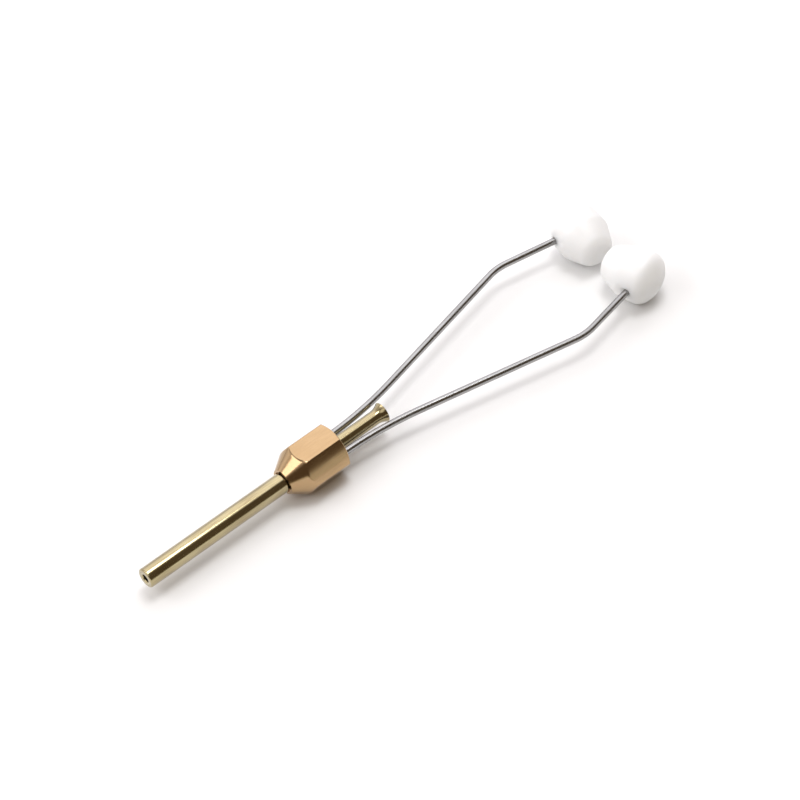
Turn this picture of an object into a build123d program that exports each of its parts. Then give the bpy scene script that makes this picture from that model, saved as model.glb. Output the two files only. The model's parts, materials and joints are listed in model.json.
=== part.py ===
from build123d import *
import os
from math import asin, atan2, cos, hypot, radians, sin, sqrt, tan

# Bobbin holder for fly tying, lying on a table. Lengths are in millimetres.
# +X runs along the thread tube from its tip towards the feet, +Y to the left arm, and +Z is up.
# The origin is on the table, under the middle of the holder's length.

# Thread tube, the thin tube that runs from the tip to behind the collar
tube_radius = 1.2
tube_wall = 0.5
tube_rear_reach = 10.45
bore_mouth_round = 0.25
flare_length = 1.9
flare_spread = 0.55
flare_rim_wall = 0.4
flare_rim_break = 0.1

# Barrel, the outer tube in front of the collar
barrel_wall = 0.48
barrel_reach = 27.9
barrel_tip_round = 0.3
neck_depth = 0.2
neck_length = 0.3

# Collar, turned from hexagonal bar
across_flats = 8.0
collar_length = 10.6
cone_length = 3.6
front_land = 0.68
rear_bevel_land = 0.15
rear_bevel_angle = 30.0
barrel_seat_depth = 5.0
seat_mouth_break = 0.12
turning_overrun = 0.5

# Sockets in the collar's rear face, which hold the wires
socket_wall = 0.28
socket_floor_wall = 0.4
swing_gap = 0.05
swing_depth = 0.4
swing_angle = 14.0

# Gap round a piece that is pressed or soldered into its seat
seat_gap = 0.02

# Arms, bent from spring wire: a long sweep outwards, a knee, and straight in to the foot
wire_radius = 0.6
sweep_reach = 7.8
knee_reach = 45.7
knee_spread = 10.6
knee_radius = 10.0

# Feet, turned knobs set square to the ends of the wires
foot_radius = 4.6
foot_distance = 16.15
nose_radius = 2.8
nose_reach = 6.8
nose_gap = 0.86
cone_reach = 2.4
band_width = 0.45
dome_height = 3.1
dome_edge_radius = 2.3
nose_break = 0.3
shoulder_round = 2.0
foot_hole_past_axis = 1.6
foot_hole_end_gap = 0.3
foot_hole_break = 0.2
foot_hole_overrun = 1.0

# Sizes that follow from those above
thread_bore_radius = tube_radius - tube_wall
flare_radius = tube_radius + flare_spread
barrel_bore_radius = tube_radius + seat_gap
barrel_radius = barrel_bore_radius + barrel_wall
neck_radius = barrel_radius - neck_depth
barrel_seat_radius = neck_radius + seat_gap
corner_radius = across_flats / sqrt(3)
turned_radius = corner_radius + turning_overrun
cone_face_radius = barrel_seat_radius + front_land
cone_slope = (corner_radius - cone_face_radius) / cone_length
rear_face_radius = across_flats / 2 - rear_bevel_land
swing = radians(swing_angle)
socket_radius = wire_radius + swing_gap
socket_mouth_radius = socket_radius / cos(swing) + swing_depth * tan(swing)
arm_offset = barrel_bore_radius + socket_wall + socket_radius
foot_hole_radius = wire_radius + seat_gap

# Places along the thread axis, measured from the collar's front face
socket_floor_x = barrel_seat_depth + socket_floor_wall
pivot_x = collar_length - swing_depth
tube_rear_x = collar_length + tube_rear_reach
sweep_x = collar_length + sweep_reach
knee_x = collar_length + knee_reach

# The sweep is one arc that starts at the collar's rear face and is as large as its reach allows
sweep_turn = atan2(knee_spread - arm_offset, knee_x - sweep_x)
sweep_radius = sweep_reach / tan(sweep_turn / 2)

# Behind the knee the wire leans in just far enough to leave nose_gap between the feet
lean_reach = foot_distance + nose_radius
lean_rise = knee_spread - nose_gap / 2
lean = asin(lean_rise / hypot(lean_reach, nose_reach)) - atan2(nose_reach, lean_reach)
foot_x = knee_x + foot_distance * cos(lean)
foot_y = knee_spread - foot_distance * sin(lean)
wire_tip_distance = foot_distance + foot_hole_past_axis - foot_hole_end_gap
wire_tip_x = knee_x + wire_tip_distance * cos(lean)
wire_tip_y = knee_spread - wire_tip_distance * sin(lean)

# A foot's back is a flat dome whose edge is rounded into the band
dome_edge_centre = foot_radius - dome_edge_radius
dome_rise = dome_height - dome_edge_radius
dome_depth = (dome_edge_centre**2 - dome_rise**2) / dome_rise / 2
dome_radius = dome_height + dome_depth
dome_rim = dome_edge_centre * dome_radius / (dome_radius - dome_edge_radius)
dome_rim_rise = dome_depth * dome_radius / (dome_radius - dome_edge_radius) - dome_depth

# The feet stand on the table, and the collar lies so that the holder's middle is at x = 0
axis_height = foot_radius
rear_end_x = foot_x + dome_edge_centre * cos(lean) + band_width * sin(lean) + dome_edge_radius
collar_x = (barrel_reach - rear_end_x) / 2


def place(x, y):
    """The point x behind the collar's front face and y to the left of the thread axis."""
    return Vector(collar_x + x, y, axis_height)


def save(part, name):
    """Give a finished piece its name and write it."""
    part.label = name
    export_step(part, "parts/" + name + ".step")


# Seen from above, with x along the thread axis and y to the left
thread_plane = Plane(origin=place(0, 0))
thread_axis = Axis(place(0, 0), (1, 0, 0))

os.makedirs("parts", exist_ok=True)


# Collar: hexagonal bar with a turned front cone and a turned bevel round its rear rim
with BuildPart() as collar:
    with BuildSketch(Plane(origin=place(0, 0), x_dir=(0, 1, 0), z_dir=(1, 0, 0))):
        RegularPolygon(radius=corner_radius, side_count=6)
    extrude(amount=collar_length)
    with BuildSketch(thread_plane):
        with BuildLine():
            Polyline(
                (0, 0),
                (0, cone_face_radius),
                ((turned_radius - cone_face_radius) / cone_slope, turned_radius),
                (collar_length - (turned_radius - rear_face_radius) * tan(radians(rear_bevel_angle)), turned_radius),
                (collar_length, rear_face_radius),
                (collar_length, 0),
                close=True,
            )
        make_face()
    revolve(axis=thread_axis, mode=Mode.INTERSECT)
    # Stepped bore, the barrel's seat in front and the thread tube's behind it
    with BuildSketch(thread_plane):
        with BuildLine():
            Polyline(
                (0, 0),
                (0, barrel_seat_radius + seat_mouth_break),
                (seat_mouth_break, barrel_seat_radius),
                (barrel_seat_depth, barrel_seat_radius),
                (barrel_seat_depth, barrel_bore_radius),
                (collar_length, barrel_bore_radius),
                (collar_length, 0),
                close=True,
            )
        make_face()
    revolve(axis=thread_axis, mode=Mode.SUBTRACT)
    # Sockets for the wires, each with a flared mouth that lets its arm swing
    for side in (1, -1):
        with BuildSketch(thread_plane):
            with BuildLine():
                Polyline(
                    (socket_floor_x, side * arm_offset),
                    (socket_floor_x, side * (arm_offset + socket_radius)),
                    (pivot_x - wire_radius, side * (arm_offset + socket_radius)),
                    (collar_length, side * (arm_offset + socket_mouth_radius)),
                    (collar_length, side * arm_offset),
                    close=True,
                )
            make_face()
        revolve(axis=Axis(place(0, side * arm_offset), (1, 0, 0)), mode=Mode.SUBTRACT)
save(collar.part, "collar")


# Barrel: tube with a rounded tip, turned down to a neck where it enters the collar
with BuildPart() as barrel_tube:
    with BuildSketch(thread_plane):
        with BuildLine():
            Polyline(
                (-barrel_reach, barrel_bore_radius),
                (-barrel_reach, barrel_radius),
                (-neck_length, barrel_radius),
                (-neck_length, neck_radius),
                (barrel_seat_depth - seat_gap, neck_radius),
                (barrel_seat_depth - seat_gap, barrel_bore_radius),
                close=True,
            )
        make_face()
        tip_corner = vertices().group_by(Axis.X)[0].sort_by(Axis.Y)[-1]
        fillet(tip_corner, radius=barrel_tip_round)
    revolve(axis=thread_axis)
save(barrel_tube.part, "barrel_tube")


# Thread tube: thin tube with a rounded mouth at the tip and a flared end behind the collar
with BuildPart() as thread_tube:
    with BuildSketch(thread_plane):
        with BuildLine():
            flare_x = tube_rear_x - flare_length
            tip_face = Line((-barrel_reach, thread_bore_radius + bore_mouth_round), (-barrel_reach, tube_radius))
            outside = Line(tip_face @ 1, (flare_x, tube_radius))
            flare = TangentArc(outside @ 1, (tube_rear_x, flare_radius), tangent=(1, 0))
            rim = Line(flare @ 1, (tube_rear_x, flare_radius - flare_rim_wall))
            bore = Line((flare_x, thread_bore_radius), (bore_mouth_round - barrel_reach, thread_bore_radius))
            TangentArc(bore @ 0, rim @ 1, tangent=(1, 0))
            TangentArc(bore @ 1, tip_face @ 0, tangent=(-1, 0))
        make_face()
        chamfer(vertices().group_by(Axis.X)[-1], length=flare_rim_break)
    revolve(axis=thread_axis)
save(thread_tube.part, "thread_tube")


def wire_root(side):
    """The end of a wire that is held fast in the bottom of its socket."""
    start_x = socket_floor_x + seat_gap
    end_x = pivot_x - wire_radius * sin(swing) - swing_gap
    with BuildPart() as root:
        with BuildSketch(Plane(origin=place(start_x, side * arm_offset), z_dir=(1, 0, 0))):
            Circle(wire_radius)
        extrude(amount=end_x - start_x)
    return root.part


def arm_wire(side):
    """The free wire, from just inside its socket's mouth to the tip in its foot."""
    with BuildPart() as wire:
        with BuildLine(thread_plane) as path:
            FilletPolyline(
                (pivot_x, side * arm_offset),
                (sweep_x, side * arm_offset),
                (knee_x, side * knee_spread),
                (wire_tip_x, side * wire_tip_y),
                radius=[sweep_radius, knee_radius],
            )
        with BuildSketch(Plane(origin=place(pivot_x, side * arm_offset), z_dir=(1, 0, 0))):
            Circle(wire_radius)
        sweep(path=path.wires()[0])
    return wire.part


def foot(side):
    """A knob with a domed back and a tapered nose, drilled across for its wire."""
    along_wire = Vector(cos(lean), -side * sin(lean), 0)
    outward = Vector(sin(lean), side * cos(lean), 0)
    centre = place(foot_x, side * foot_y)
    # Local x is the radius, along the wire, and local y the axis, from the nose to the dome
    section = Plane(origin=centre, x_dir=along_wire, z_dir=along_wire.cross(outward))
    with BuildPart() as knob:
        with BuildSketch(section):
            with BuildLine():
                Polyline(
                    (0, band_width + dome_height),
                    (0, -nose_reach),
                    (nose_radius, -nose_reach),
                    (foot_radius, -cone_reach),
                    (foot_radius, band_width),
                )
                edge = TangentArc((foot_radius, band_width), (dome_rim, band_width + dome_rim_rise), tangent=(0, 1))
                TangentArc(edge @ 1, (0, band_width + dome_height), tangent=edge % 1)
            make_face()
            nose_rim = vertices().group_by(Axis.Y)[0].sort_by(Axis.X)[-1]
            chamfer(nose_rim, length=nose_break)
            shoulder = vertices().group_by(Axis.X)[-1].sort_by(Axis.Y)[0]
            fillet(shoulder, radius=shoulder_round)
        revolve(axis=Axis(centre, outward))
        # Blind hole for the wire, with a broken mouth
        with BuildSketch(section):
            with BuildLine():
                Polyline(
                    (-foot_radius - foot_hole_overrun, 0),
                    (-foot_radius - foot_hole_overrun, foot_hole_radius + foot_hole_break),
                    (-foot_radius, foot_hole_radius + foot_hole_break),
                    (foot_hole_break - foot_radius, foot_hole_radius),
                    (foot_hole_past_axis, foot_hole_radius),
                    (foot_hole_past_axis, 0),
                    close=True,
                )
            make_face()
        revolve(axis=Axis(centre, along_wire), mode=Mode.SUBTRACT)
    return knob.part


for side_name, side in (("left", 1), ("right", -1)):
    save(wire_root(side), side_name + "_wire_root")
    save(arm_wire(side), side_name + "_arm_wire")
    save(foot(side), side_name + "_foot")
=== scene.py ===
import json
import math
import bpy
import numpy as np
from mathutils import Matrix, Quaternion, Vector


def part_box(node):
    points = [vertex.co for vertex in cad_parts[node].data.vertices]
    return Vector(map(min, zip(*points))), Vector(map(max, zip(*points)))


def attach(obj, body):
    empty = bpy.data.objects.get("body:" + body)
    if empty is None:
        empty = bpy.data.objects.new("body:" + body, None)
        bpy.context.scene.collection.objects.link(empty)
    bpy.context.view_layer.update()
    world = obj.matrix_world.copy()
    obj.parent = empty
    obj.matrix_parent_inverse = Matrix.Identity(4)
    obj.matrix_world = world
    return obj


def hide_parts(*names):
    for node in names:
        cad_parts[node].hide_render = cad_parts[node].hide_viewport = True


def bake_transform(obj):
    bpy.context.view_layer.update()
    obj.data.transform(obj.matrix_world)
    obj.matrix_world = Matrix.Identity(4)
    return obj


# Bobbin holder for fly tying: brass tubes in a hexagonal brass collar, sprung wire arms and plastic feet.
# Lengths are in metres. +X runs along the thread tube from its tip to the feet, and the table is z = 0.

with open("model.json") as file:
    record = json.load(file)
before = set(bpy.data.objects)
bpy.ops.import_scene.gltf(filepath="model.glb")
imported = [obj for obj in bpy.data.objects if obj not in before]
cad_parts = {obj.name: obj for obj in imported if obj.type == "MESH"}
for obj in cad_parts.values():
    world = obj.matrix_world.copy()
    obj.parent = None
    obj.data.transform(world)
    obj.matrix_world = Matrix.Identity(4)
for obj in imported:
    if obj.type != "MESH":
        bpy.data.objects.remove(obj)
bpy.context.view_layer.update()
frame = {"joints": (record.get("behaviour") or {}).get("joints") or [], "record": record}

MM = 0.001
UP = Vector((0, 0, 1))
ALONG = Vector((1, 0, 0))

# Places and sizes that the frame gives
COLLAR_LOW, COLLAR_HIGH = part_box("collar")
BARREL_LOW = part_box("barrel_tube")[0]
TUBE_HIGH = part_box("thread_tube")[1]
PIVOT = Vector(next(joint["pos_m"] for joint in frame["joints"] if joint["name"] == "left_arm_flex"))
MOUNTS = {mount["name"]: mount for mount in frame["record"]["mounts"]}
COLLAR_X = COLLAR_LOW.x
AXIS_Z = PIVOT.z
ARM_OFFSET = PIVOT.y

# Fits
SEAT_GAP = 0.02 * MM
CUT_MARGIN = 1.0 * MM

# Sizes of the collar. The seat, the mouth and the sockets' floor are so far behind its front face.
FLATS = 6
FLAT_TURN = 2 * math.pi / FLATS
APOTHEM = (COLLAR_HIGH.z - COLLAR_LOW.z) / 2
CORNER_RADIUS = APOTHEM / math.cos(FLAT_TURN / 2)
COLLAR_LENGTH = COLLAR_HIGH.x - COLLAR_LOW.x
CONE_LENGTH = 3.6 * MM
CONE_FACE_RADIUS = 2.2 * MM
CONE_SLOPE = (CORNER_RADIUS - CONE_FACE_RADIUS) / CONE_LENGTH
REAR_FACE_RADIUS = 3.85 * MM
REAR_BEVEL_SLOPE = math.tan(math.radians(30))
EDGE_SOFTNESS = 0.05 * MM
FLAT_CROWN_RADIUS = 26 * MM
MOUTH_RADIUS = 1.82 * MM
MOUTH_FLOOR_RADIUS = 1.78 * MM
MOUTH_DEPTH = 0.4 * MM
SEAT_EDGE_DEPTH = 0.45 * MM
BARREL_SEAT_DEPTH = 5.0 * MM
REAR_FACE_RING_RADIUS = 2.0 * MM
SOCKET_RADIUS = 0.65 * MM
SOCKET_FLOOR = 5.4 * MM
SOCKET_MOUTH_RADIUS = 0.77 * MM
SOCKET_MOUTH_DEPTH = 1.0 * MM

# Sizes of the tubes
BARREL_RADIUS = MOUNTS["barrel"]["dims"]["r_mm"] * MM
BARREL_REACH = COLLAR_X - BARREL_LOW.x
BARREL_TIP_ROUND = 0.3 * MM
BARREL_NECK_ROUND = 0.06 * MM
NECK_DEPTH = 0.2 * MM
NECK_LENGTH = 0.3 * MM
NECK_RADIUS = BARREL_RADIUS - NECK_DEPTH
NECK_SEAT_RADIUS = NECK_RADIUS + SEAT_GAP
TUBE_RADIUS = 1.2 * MM
TUBE_SEAT_RADIUS = TUBE_RADIUS + SEAT_GAP
TUBE_REAR = TUBE_HIGH.x - COLLAR_X
THREAD_BORE_RADIUS = MOUNTS["thread_bore"]["dims"]["r_mm"] * MM
BORE_MOUTH_ROUND = 0.25 * MM
FLARE_LENGTH = 1.9 * MM
FLARE_RADIUS = 1.75 * MM
FLARE_WALL = 0.4 * MM

# Sizes of the wires. Each leaves the collar straight, sweeps outwards and bends back in at its knee.
# Reaches are measured from the collar's rear face. The flex of an arm starts FLEX_LEAD inside it.
WIRE_RADIUS = 0.6 * MM
SWEEP_REACH = 7.8 * MM
KNEE_REACH = 45.7 * MM
KNEE_SPREAD = 10.6 * MM
KNEE_RADIUS = 10.0 * MM
WIRE_END_GAP = 0.3 * MM

# Sizes of the feet. Each is a domed knob with a short band, then a cone that narrows to the nose.
FOOT_DISTANCE = 16.15 * MM
FOOT_RADIUS = 4.6 * MM
DOME_HEIGHT = 3.1 * MM
DOME_EDGE_RADIUS = 2.3 * MM
BAND_WIDTH = 0.45 * MM
CONE_REACH = 2.4 * MM
SHOULDER_ROUND = 2.0 * MM
NOSE_RADIUS = 2.8 * MM
NOSE_REACH = 6.8 * MM
NOSE_ROUND = 2.0 * MM
NOSE_CAP_RADIUS = 0.1 * MM
NOSE_GAP = 0.86 * MM
FOOT_HOLE_RADIUS = WIRE_RADIUS + SEAT_GAP
FOOT_HOLE_BREAK = 0.2 * MM
FOOT_HOLE_PAST_AXIS = 1.6 * MM

# The wire behind the knee leans in until the noses of the feet are NOSE_GAP apart
LEAN_REACH = FOOT_DISTANCE + NOSE_RADIUS
LEAN = (math.asin((KNEE_SPREAD - NOSE_GAP / 2) / math.hypot(LEAN_REACH, NOSE_REACH))
        - math.atan2(NOSE_REACH, LEAN_REACH))
SWEEP_X = COLLAR_LENGTH + SWEEP_REACH
KNEE_X = COLLAR_LENGTH + KNEE_REACH
SWEEP_TURN = math.atan2(KNEE_SPREAD - ARM_OFFSET, KNEE_X - SWEEP_X)
SWEEP_RADIUS = SWEEP_REACH / math.tan(SWEEP_TURN / 2)

# How finely the meshes are divided
COLUMNS_PER_FLAT = 36
CORNER_CROWDING = 0.11
TUBE_SIDES = 96
FOOT_SIDES = 128
HOLE_SIDES = 48
WIRE_SIDES = 40
WIRE_SPACING = 0.5 * MM
DOME_RINGS = 14
DOME_EDGE_RINGS = 12
DOME_CAP_SHARE = 0.01

# The floor's colour as the object is lit by it, and as the camera and reflections see it
PAPER_LIGHTING = (0.70, 0.70, 0.69)
PAPER_SEEN = (0.945, 0.945, 0.945)


def place(x, y=0.0):
    """The point x behind the collar's front face and y to the left of the thread axis."""
    return Vector((COLLAR_X + x, y, AXIS_Z))


# Meshes

def rounded(points, radii, step=math.radians(8)):
    """A polyline whose inner corners are arcs of the given radii, in steps of about the given turn."""
    points = [Vector(point) for point in points]
    outline = [points[0]]
    for before, corner, after, radius in zip(points, points[1:], points[2:], radii):
        if radius == 0:
            outline.append(corner)
            continue
        back = (before - corner).normalized()
        ahead = (after - corner).normalized()
        half = back.angle(ahead) / 2
        centre = corner + (back + ahead).normalized() * radius / math.sin(half)
        turn = math.pi - 2 * half
        sign = 1 if back.x * ahead.y - back.y * ahead.x < 0 else -1
        first = corner + back * radius / math.tan(half) - centre
        count = max(2, math.ceil(turn / step))
        for i in range(count + 1):
            angle = sign * turn * i / count
            outline.append(centre + Vector((first.x * math.cos(angle) - first.y * math.sin(angle),
                                            first.x * math.sin(angle) + first.y * math.cos(angle))))
    outline.append(points[-1])
    return outline


def flared(start, end, step=math.radians(4)):
    """Points of an arc that leaves start along the tube and ends at end."""
    run, rise = end[0] - start[0], end[1] - start[1]
    radius = (run * run + rise * rise) / (2 * rise)
    turn = 2 * math.atan2(rise, run)
    count = max(2, math.ceil(abs(turn) / step))
    angles = [turn * i / count for i in range(count + 1)]
    return [(start[0] + radius * math.sin(angle), start[1] + radius * (1 - math.cos(angle)))
            for angle in angles]


def stretched(points, spacing):
    """The polyline with points added so that none are further apart than the spacing."""
    path = [points[0]]
    for start, end in zip(points, points[1:]):
        count = max(1, math.ceil((end - start).length / spacing))
        path += [start.lerp(end, i / count) for i in range(1, count + 1)]
    return path


def circle(centre, across, upward, radius, sides):
    """Points round a circle, from across towards upward."""
    angles = [2 * math.pi * side / sides for side in range(sides)]
    return [centre + (across * math.cos(angle) + upward * math.sin(angle)) * radius for angle in angles]


def ring_faces(rings, sides, closed):
    """Quads between rings of vertices. The last ring meets the first, or else each end has a cap."""
    faces = []
    for ring in range(rings if closed else rings - 1):
        start, following = ring * sides, (ring + 1) % rings * sides
        for side in range(sides):
            beside = (side + 1) % sides
            faces.append((start + side, start + beside, following + beside, following + side))
    if not closed:
        faces.append(tuple(reversed(range(sides))))
        faces.append(tuple(range((rings - 1) * sides, rings * sides)))
    return faces


def mesh_object(name, vertices, faces, material, sharp=40):
    """A smooth-shaded object in the scene, with edges kept sharp past an angle in degrees."""
    mesh = bpy.data.meshes.new(name)
    mesh.from_pydata([tuple(vertex) for vertex in vertices], [], faces)
    mesh.update()
    piece = bpy.data.objects.new(name, mesh)
    bpy.context.scene.collection.objects.link(piece)
    mesh.materials.append(material)
    mesh.shade_smooth()
    mesh.set_sharp_from_angle(angle=math.radians(sharp))
    return piece


def lathe(name, outline, origin, axis, material, sides=TUBE_SIDES, closed=False):
    """A piece turned from an outline of (along, radius) points. A closed outline makes a tube."""
    axis = axis.normalized()
    across = UP.cross(axis).normalized()
    upward = axis.cross(across)
    vertices = []
    for along, radius in outline:
        vertices += circle(origin + axis * along, across, upward, radius, sides)
    return mesh_object(name, vertices, ring_faces(len(outline), sides, closed), material)


def cut(piece, tools):
    """Takes the tools' space out of the piece and deletes them."""
    for tool in tools:
        modifier = piece.modifiers.new("cut", "BOOLEAN")
        modifier.operation = "DIFFERENCE"
        modifier.solver = "EXACT"
        modifier.object = tool
    depsgraph = bpy.context.evaluated_depsgraph_get()
    mesh = bpy.data.meshes.new_from_object(piece.evaluated_get(depsgraph))
    piece.modifiers.clear()
    piece.data = mesh
    for tool in tools:
        bpy.data.objects.remove(tool)


# Shader nodes

def join(tree, node, inputs):
    """Sets the node's inputs to values, or links them from other nodes."""
    for key, value in inputs.items():
        if isinstance(value, bpy.types.NodeSocket):
            tree.links.new(value, node.inputs[key])
        else:
            node.inputs[key].default_value = value


def add(tree, kind, inputs=None, **settings):
    """A new shader node with its settings and its inputs."""
    node = tree.nodes.new(kind)
    for key, value in settings.items():
        setattr(node, key, value)
    join(tree, node, inputs or {})
    return node


def maths(tree, operation, *values):
    """The result of an operation on values or sockets."""
    return add(tree, "ShaderNodeMath", dict(enumerate(values)), operation=operation).outputs[0]


def ranged(tree, value, span, low=0.0, high=1.0, kind="LINEAR"):
    """The span of the value mapped onto low to high, and held beyond it."""
    inputs = {"Value": value, "From Min": span[0], "From Max": span[1], "To Min": low, "To Max": high}
    return add(tree, "ShaderNodeMapRange", inputs, interpolation_type=kind).outputs[0]


def noise(tree, scale, stretch=(1, 1, 1), detail=3.0):
    """Noise in the row frame, with the given features per metre, stretched by shares along each axis."""
    coordinates = add(tree, "ShaderNodeTexCoord")
    mapping = add(tree, "ShaderNodeMapping", {"Vector": coordinates.outputs["Object"], "Scale": stretch})
    inputs = {"Vector": mapping.outputs[0], "Scale": scale, "Detail": detail}
    return add(tree, "ShaderNodeTexNoise", inputs).outputs[0]


def spread(tree, value, low, high):
    """Noise spread over low to high, by the middle span that holds most of it."""
    return ranged(tree, value, (0.3, 0.7), low, high)


def mixed(tree, factor, first, second, **settings):
    """Two colours mixed by a factor, the first at 0 and the second at 1."""
    first, second = (colour if isinstance(colour, bpy.types.NodeSocket) else (*colour, 1)
                     for colour in (first, second))
    inputs = {0: factor, 6: first, 7: second}
    return add(tree, "ShaderNodeMix", inputs, data_type="RGBA", **settings).outputs[2]


def bump(tree, height, strength, distance, **inputs):
    """The normal of a surface raised by up to the distance."""
    inputs = {"Height": height, "Strength": strength, "Distance": distance, **inputs}
    return add(tree, "ShaderNodeBump", inputs).outputs[0]


def new_material(name):
    """An empty material, its node tree and its shader."""
    material = bpy.data.materials.new(name)
    material.use_nodes = True
    tree = material.node_tree
    tree.nodes.clear()
    shader = add(tree, "ShaderNodeBsdfPrincipled")
    add(tree, "ShaderNodeOutputMaterial", {"Surface": shader.outputs[0]})
    return material, tree, shader


# Materials

def metal(name, clean, dull, roughness, lines, coat=0.0):
    """Drawn metal: lines along the bar, cloudy tarnish, and a polish that varies with both."""
    material, tree, shader = new_material(name)
    clouds = noise(tree, scale=350, stretch=(0.5, 1, 1), detail=5.0)
    coarse_lines = noise(tree, scale=4500, stretch=(0.04, 1, 1), detail=3.0)
    fine_lines = noise(tree, scale=12000, stretch=(0.03, 1, 1), detail=2.0)
    wear = maths(tree, "MULTIPLY", maths(tree, "ADD", clouds, fine_lines), 0.5)
    cloudy = spread(tree, clouds, roughness * 0.85, roughness * 1.2)
    streaky = spread(tree, fine_lines, -0.03, 0.03)
    ripple = bump(tree, coarse_lines, lines, 0.005 * MM)
    join(tree, shader, {
        "Base Color": mixed(tree, ranged(tree, wear, (0.4, 0.6)), clean, dull),
        "Metallic": 1,
        "Roughness": maths(tree, "ADD", cloudy, streaky),
        "Coat Weight": coat,
        "Coat Roughness": 0.08,
        "Normal": bump(tree, fine_lines, lines, 0.003 * MM, Normal=ripple),
    })
    return material


def plastic(name, colour):
    """White moulded plastic, satin and slightly translucent."""
    material, tree, shader = new_material(name)
    clouds = noise(tree, scale=300, detail=4.0)
    grain = noise(tree, scale=5000, detail=2.0)
    darker = [channel * 0.98 for channel in colour]
    join(tree, shader, {
        "Base Color": mixed(tree, spread(tree, clouds, 0, 1), colour, darker),
        "Roughness": spread(tree, clouds, 0.32, 0.42),
        "Subsurface Weight": 0.8,
        "Subsurface Radius": (1.0, 0.96, 0.92),
        "Subsurface Scale": 2.6 * MM,
        "Normal": bump(tree, grain, 0.15, 0.01 * MM),
    })
    return material


def paper(name):
    """Matt white paper that is brighter to the camera and in reflections than as a light on the object."""
    material, tree, shader = new_material(name)
    fibres = noise(tree, scale=60)
    tone = mixed(tree, spread(tree, fibres, 0, 1), (1.0, 1.0, 1.0), (0.985, 0.985, 0.985))
    path = add(tree, "ShaderNodeLightPath").outputs
    seen = maths(tree, "MAXIMUM", path["Is Camera Ray"], path["Is Glossy Ray"])
    seen = maths(tree, "MAXIMUM", seen, path["Is Transmission Ray"])
    colour = mixed(tree, seen, PAPER_LIGHTING, PAPER_SEEN)
    join(tree, shader, {
        "Base Color": mixed(tree, 1.0, tone, colour, blend_type="MULTIPLY"),
        "Roughness": 1.0,
        "Specular IOR Level": 0.0,
    })
    return material


COLLAR_BRASS = metal("collar_brass", clean=(0.445, 0.297, 0.152), dull=(0.405, 0.265, 0.13),
                     roughness=0.14, lines=0.2, coat=0.5)
TUBE_BRASS = metal("tube_brass", clean=(0.44, 0.372, 0.204), dull=(0.32, 0.255, 0.13),
                   roughness=0.15, lines=0.25, coat=0.8)
STEEL = metal("spring_steel", clean=(0.372, 0.368, 0.365), dull=(0.30, 0.297, 0.294),
              roughness=0.24, lines=0.2)
WHITE_PLASTIC = plastic("foot_plastic", (0.93, 0.93, 0.925))


# Collar: a hexagonal bar whose front is turned to a cone and whose rear rim is turned to a bevel

def soft_least(values, softness):
    """The least of several arrays, with the crease between them rounded."""
    stack = np.array(values) / softness
    least = stack.min(axis=0)
    return softness * (least - np.log(np.exp(least - stack).sum(axis=0)))


def collar_angles():
    """Angles about the axis, from the top flat on, closer together towards the hexagon's corners."""
    share = np.linspace(-0.5, 0.5, COLUMNS_PER_FLAT, endpoint=False)
    share = share + CORNER_CROWDING * np.sin(2 * math.pi * share)
    return np.concatenate([FLAT_TURN * (flat + share) for flat in range(FLATS)])


def collar_stations():
    """Distances behind the front face, close together where the bar meets the cone and the bevel."""
    ends_and_rings = ((0.1 * MM, 3), (2.4 * MM, 10), (3.8 * MM, 34), (9.9 * MM, 14), (COLLAR_LENGTH, 22))
    stations, start = [], 0.0
    for end, rings in ends_and_rings:
        stations.append(np.linspace(start, end, rings, endpoint=False))
        start = end
    return np.append(np.concatenate(stations), COLLAR_LENGTH)


def collar_radii(x, angles):
    """The collar's outer radius at a distance behind its front face, for each angle about the axis."""
    # A flat lies far outside the other surfaces past these, so there it is only kept finite
    widest_turn, least_facing = 0.7, 0.2
    surfaces = [np.full_like(angles, CONE_FACE_RADIUS + CONE_SLOPE * x),
                np.full_like(angles, REAR_FACE_RADIUS + (COLLAR_LENGTH - x) / REAR_BEVEL_SLOPE)]
    for flat in range(FLATS):
        turn = angles - FLAT_TURN * flat
        turn = turn - 2 * math.pi * np.round(turn / (2 * math.pi))
        across = APOTHEM * np.tan(np.clip(turn, -widest_turn, widest_turn))
        drop = across**2 / (2 * FLAT_CROWN_RADIUS)
        surfaces.append((APOTHEM - drop) / np.maximum(np.cos(turn), least_facing))
    return soft_least(surfaces, EDGE_SOFTNESS)


def wire_socket(side):
    """The space of a wire's socket, which widens towards the collar's rear face."""
    outline = [(SOCKET_FLOOR, SOCKET_RADIUS), (COLLAR_LENGTH - SOCKET_MOUTH_DEPTH, SOCKET_RADIUS),
               (COLLAR_LENGTH, SOCKET_MOUTH_RADIUS), (COLLAR_LENGTH + CUT_MARGIN, SOCKET_MOUTH_RADIUS)]
    return lathe("socket", outline, place(0, side * ARM_OFFSET), ALONG, COLLAR_BRASS, sides=HOLE_SIDES)


def build_collar():
    angles = collar_angles()
    rings = [(x, collar_radii(x, angles)) for x in collar_stations()]
    inside = [(COLLAR_LENGTH, REAR_FACE_RING_RADIUS), (COLLAR_LENGTH, TUBE_SEAT_RADIUS),
              (BARREL_SEAT_DEPTH, TUBE_SEAT_RADIUS), (BARREL_SEAT_DEPTH, NECK_SEAT_RADIUS),
              (SEAT_EDGE_DEPTH, NECK_SEAT_RADIUS), (MOUTH_DEPTH, MOUTH_FLOOR_RADIUS), (0, MOUTH_RADIUS)]
    rings += [(x, np.full_like(angles, radius)) for x, radius in inside]
    vertices = [place(x) + Vector((0, -radius * math.sin(angle), radius * math.cos(angle)))
                for x, radii in rings for radius, angle in zip(radii, angles)]
    faces = ring_faces(len(rings), len(angles), closed=True)
    collar = mesh_object("brass_collar", vertices, faces, COLLAR_BRASS, sharp=50)
    cut(collar, [wire_socket(side) for side in (1, -1)])
    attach(collar, "frame")
    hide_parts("collar")


# Tubes

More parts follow.
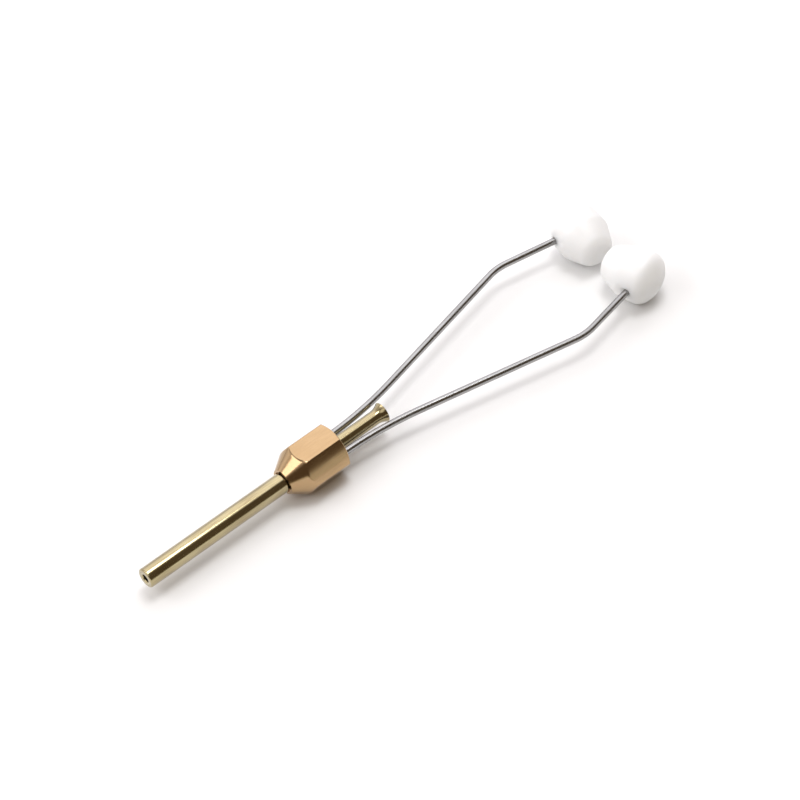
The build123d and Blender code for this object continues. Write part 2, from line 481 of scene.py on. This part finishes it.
def build_barrel():
    seat_end = BARREL_SEAT_DEPTH - SEAT_GAP
    corners = [(-BARREL_REACH, TUBE_SEAT_RADIUS), (-BARREL_REACH, BARREL_RADIUS),
               (-NECK_LENGTH, BARREL_RADIUS), (-NECK_LENGTH, NECK_RADIUS),
               (seat_end, NECK_RADIUS), (seat_end, TUBE_SEAT_RADIUS)]
    outline = rounded(corners, (BARREL_TIP_ROUND, BARREL_NECK_ROUND, 0, 0))
    barrel = lathe("brass_barrel", outline, place(0), ALONG, TUBE_BRASS, closed=True)
    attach(barrel, "frame")
    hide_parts("barrel_tube")


def build_thread_tube():
    tip = -BARREL_REACH
    corners = [(tip + MM, THREAD_BORE_RADIUS), (tip, THREAD_BORE_RADIUS), (tip, TUBE_RADIUS)]
    mouth = rounded(corners, (BORE_MOUTH_ROUND,))
    flare_start = TUBE_REAR - FLARE_LENGTH
    outside = flared((flare_start, TUBE_RADIUS), (TUBE_REAR, FLARE_RADIUS))
    inside = flared((flare_start, THREAD_BORE_RADIUS), (TUBE_REAR, FLARE_RADIUS - FLARE_WALL))
    outline = mouth + outside + inside[::-1]
    tube = lathe("brass_thread_tube", outline, place(0), ALONG, TUBE_BRASS, closed=True)
    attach(tube, "frame")
    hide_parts("thread_tube")


# Arms

def build_wire(name, side):
    """An arm's wire, from the floor of its socket in the collar to its end in the foot."""
    last = FOOT_DISTANCE + FOOT_HOLE_PAST_AXIS - WIRE_END_GAP
    corners = [(SOCKET_FLOOR + SEAT_GAP, ARM_OFFSET), (SWEEP_X, ARM_OFFSET), (KNEE_X, KNEE_SPREAD),
               (KNEE_X + last * math.cos(LEAN), KNEE_SPREAD - last * math.sin(LEAN))]
    bends = rounded(corners, (SWEEP_RADIUS, KNEE_RADIUS), step=math.radians(1))
    path = [place(point.x, point.y * side) for point in stretched(bends, WIRE_SPACING)]
    vertices = []
    for before, point, after in zip([path[0], *path], path, [*path[1:], path[-1]]):
        ahead = (after - before).normalized()
        vertices += circle(point, UP.cross(ahead), UP, WIRE_RADIUS, WIRE_SIDES)
    faces = ring_faces(len(path), WIRE_SIDES, closed=False)
    wire = mesh_object(name + "_steel_wire", vertices, faces, STEEL)
    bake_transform(wire)
    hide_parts(name + "_arm_wire", name + "_wire_root")


def foot_outline():
    """Points (along, radius) from the dome's middle to the nose. The wire's axis crosses at along 0."""
    rise = DOME_HEIGHT - DOME_EDGE_RADIUS
    edge_centre = FOOT_RADIUS - DOME_EDGE_RADIUS
    depth = (edge_centre**2 - rise**2) / rise / 2
    dome_radius = DOME_HEIGHT + depth
    rim = math.atan2(edge_centre, depth)
    dome = [(-BAND_WIDTH + depth - dome_radius * math.cos(angle), dome_radius * math.sin(angle))
            for angle in np.linspace(DOME_CAP_SHARE * rim, rim, DOME_RINGS)]
    edge = [(-BAND_WIDTH - DOME_EDGE_RADIUS * math.cos(angle),
             edge_centre + DOME_EDGE_RADIUS * math.sin(angle))
            for angle in np.linspace(rim, math.pi / 2, DOME_EDGE_RINGS)[1:]]
    corners = [edge[-1], (CONE_REACH, FOOT_RADIUS), (NOSE_REACH, NOSE_RADIUS),
               (NOSE_REACH, NOSE_CAP_RADIUS)]
    return dome + edge + rounded(corners, (SHOULDER_ROUND, NOSE_ROUND))[1:]


def foot_hole(centre, along_wire):
    """The space of the foot's hole for the wire, with its edge broken."""
    mouth_radius = FOOT_HOLE_RADIUS + FOOT_HOLE_BREAK
    outline = [(-FOOT_RADIUS - CUT_MARGIN, mouth_radius), (-FOOT_RADIUS, mouth_radius),
               (FOOT_HOLE_BREAK - FOOT_RADIUS, FOOT_HOLE_RADIUS), (FOOT_HOLE_PAST_AXIS, FOOT_HOLE_RADIUS)]
    return lathe("hole", outline, centre, along_wire, WHITE_PLASTIC, sides=HOLE_SIDES)


def build_foot(name, side):
    along_wire = Vector((math.cos(LEAN), -side * math.sin(LEAN), 0))
    inward = Vector((-math.sin(LEAN), -side * math.cos(LEAN), 0))
    centre = place(KNEE_X, side * KNEE_SPREAD) + along_wire * FOOT_DISTANCE
    foot = lathe(name + "_plastic_foot", foot_outline(), centre, inward, WHITE_PLASTIC, sides=FOOT_SIDES)
    cut(foot, [foot_hole(centre, along_wire)])
    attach(foot, name + "_arm")
    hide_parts(name + "_foot")


# Stage

def build_floor():
    """A wide sheet that leans a little along X, so that it touches both the collar and the feet."""
    feet_x = place(KNEE_X + FOOT_DISTANCE * math.cos(LEAN)).x
    collar_edge_x = place(CONE_LENGTH).x
    slope = COLLAR_LOW.z / (feet_x - collar_edge_x)
    half = 4.0
    corners = [(x, y, slope * (feet_x - x)) for x, y in
               ((-half, -half), (half, -half), (half, half), (-half, half))]
    mesh_object("floor", corners, [(0, 1, 2, 3)], paper("white_paper"))


def far_share(tree, x, z):
    """The share of the far side's light: all of it near the horizon, and higher up most of it in one band."""
    band_x = 0.42
    beside = maths(tree, "ABSOLUTE", maths(tree, "SUBTRACT", x, band_x))
    band = ranged(tree, beside, (0.14, 0.34), 1.0, 0.35, kind="SMOOTHSTEP")
    top = ranged(tree, z, (0.89, 0.95), 1.0, 0.3, kind="SMOOTHSTEP")
    raised = ranged(tree, z, (0.3, 0.6), kind="SMOOTHSTEP")
    inputs = {0: raised, 2: 1.0, 3: maths(tree, "MULTIPLY", band, top)}
    return add(tree, "ShaderNodeMix", inputs, data_type="FLOAT").outputs[0]


def build_world():
    """A bright far side, brightest halfway up, and a dark near side above a pale horizon."""
    world = bpy.data.worlds.new("studio")
    bpy.context.scene.world = world
    world.use_nodes = True
    tree = world.node_tree
    tree.nodes.clear()
    coordinates = add(tree, "ShaderNodeTexCoord")
    direction = add(tree, "ShaderNodeSeparateXYZ", {0: coordinates.outputs["Generated"]}).outputs
    far_side = ranged(tree, direction["Y"], (-0.32, -0.08), kind="SMOOTHSTEP")
    share = maths(tree, "MULTIPLY", far_side, far_share(tree, direction["X"], direction["Z"]))
    height = ranged(tree, direction["Z"], (0.0, 0.6), 0.75, 1.9)
    sky = mixed(tree, height, (0, 0, 0), (1.0, 0.98, 1.01), clamp_factor=False)
    horizon = ranged(tree, direction["Z"], (0.09, 0.11), 1.0, 0.0, kind="SMOOTHSTEP")
    near_side = mixed(tree, horizon, (0.14, 0.105, 0.068), (0.85, 0.86, 0.80))
    light = mixed(tree, share, near_side, sky)
    background = add(tree, "ShaderNodeBackground", {"Color": light, "Strength": 1.0})
    add(tree, "ShaderNodeOutputWorld", {"Surface": background.outputs[0]})


def build_softbox(name, towards, distance, width, height, radiance):
    """A rectangular soft lamp that shines on the origin from the given direction."""
    lamp = bpy.data.lights.new(name, "AREA")
    lamp.shape = "RECTANGLE"
    lamp.size, lamp.size_y = width, height
    lamp.energy = radiance * math.pi * width * height
    holder = bpy.data.objects.new(name, lamp)
    bpy.context.scene.collection.objects.link(holder)
    direction = Vector(towards).normalized()
    holder.location = direction * distance
    holder.rotation_euler = direction.to_track_quat("Z", "X").to_euler()
    holder.visible_camera = False


def build_camera():
    azimuth, elevation, roll = math.radians(-39.70), math.radians(48.06), math.radians(-3.38)
    distance = 481.07 * MM
    target = place(24.88 * MM, -0.013 * MM)
    focal_px, image_px, sensor_mm = 2992, 800, 36
    back = Vector((math.sin(azimuth) * math.cos(elevation), -math.cos(azimuth) * math.cos(elevation),
                   math.sin(elevation)))
    lens = bpy.data.cameras.new("camera")
    lens.lens = focal_px / image_px * sensor_mm
    lens.sensor_width = sensor_mm
    lens.clip_start = 10 * MM
    camera = bpy.data.objects.new("camera", lens)
    bpy.context.scene.collection.objects.link(camera)
    camera.location = target + back * distance
    upright = back.to_track_quat("Z", "Y")
    camera.rotation_euler = (upright @ Quaternion(UP, roll)).to_euler()
    bpy.context.scene.camera = camera


build_camera()
build_floor()
build_world()
build_softbox("key", towards=(0.136, 0.043, 1.0), distance=1.0, width=0.36, height=0.36, radiance=7.7)
build_softbox("front", towards=(-0.35, -0.30, 0.89), distance=1.0, width=0.5, height=0.5, radiance=1.1)
build_softbox("window", towards=(-0.59, 0.33, 0.73), distance=0.9, width=0.27, height=0.84, radiance=2.55)
build_collar()
build_barrel()
build_thread_tube()
for arm_name, arm_side in (("left", 1), ("right", -1)):
    build_wire(arm_name, arm_side)
    build_foot(arm_name, arm_side)

bpy.context.scene.view_settings.view_transform = "Standard"
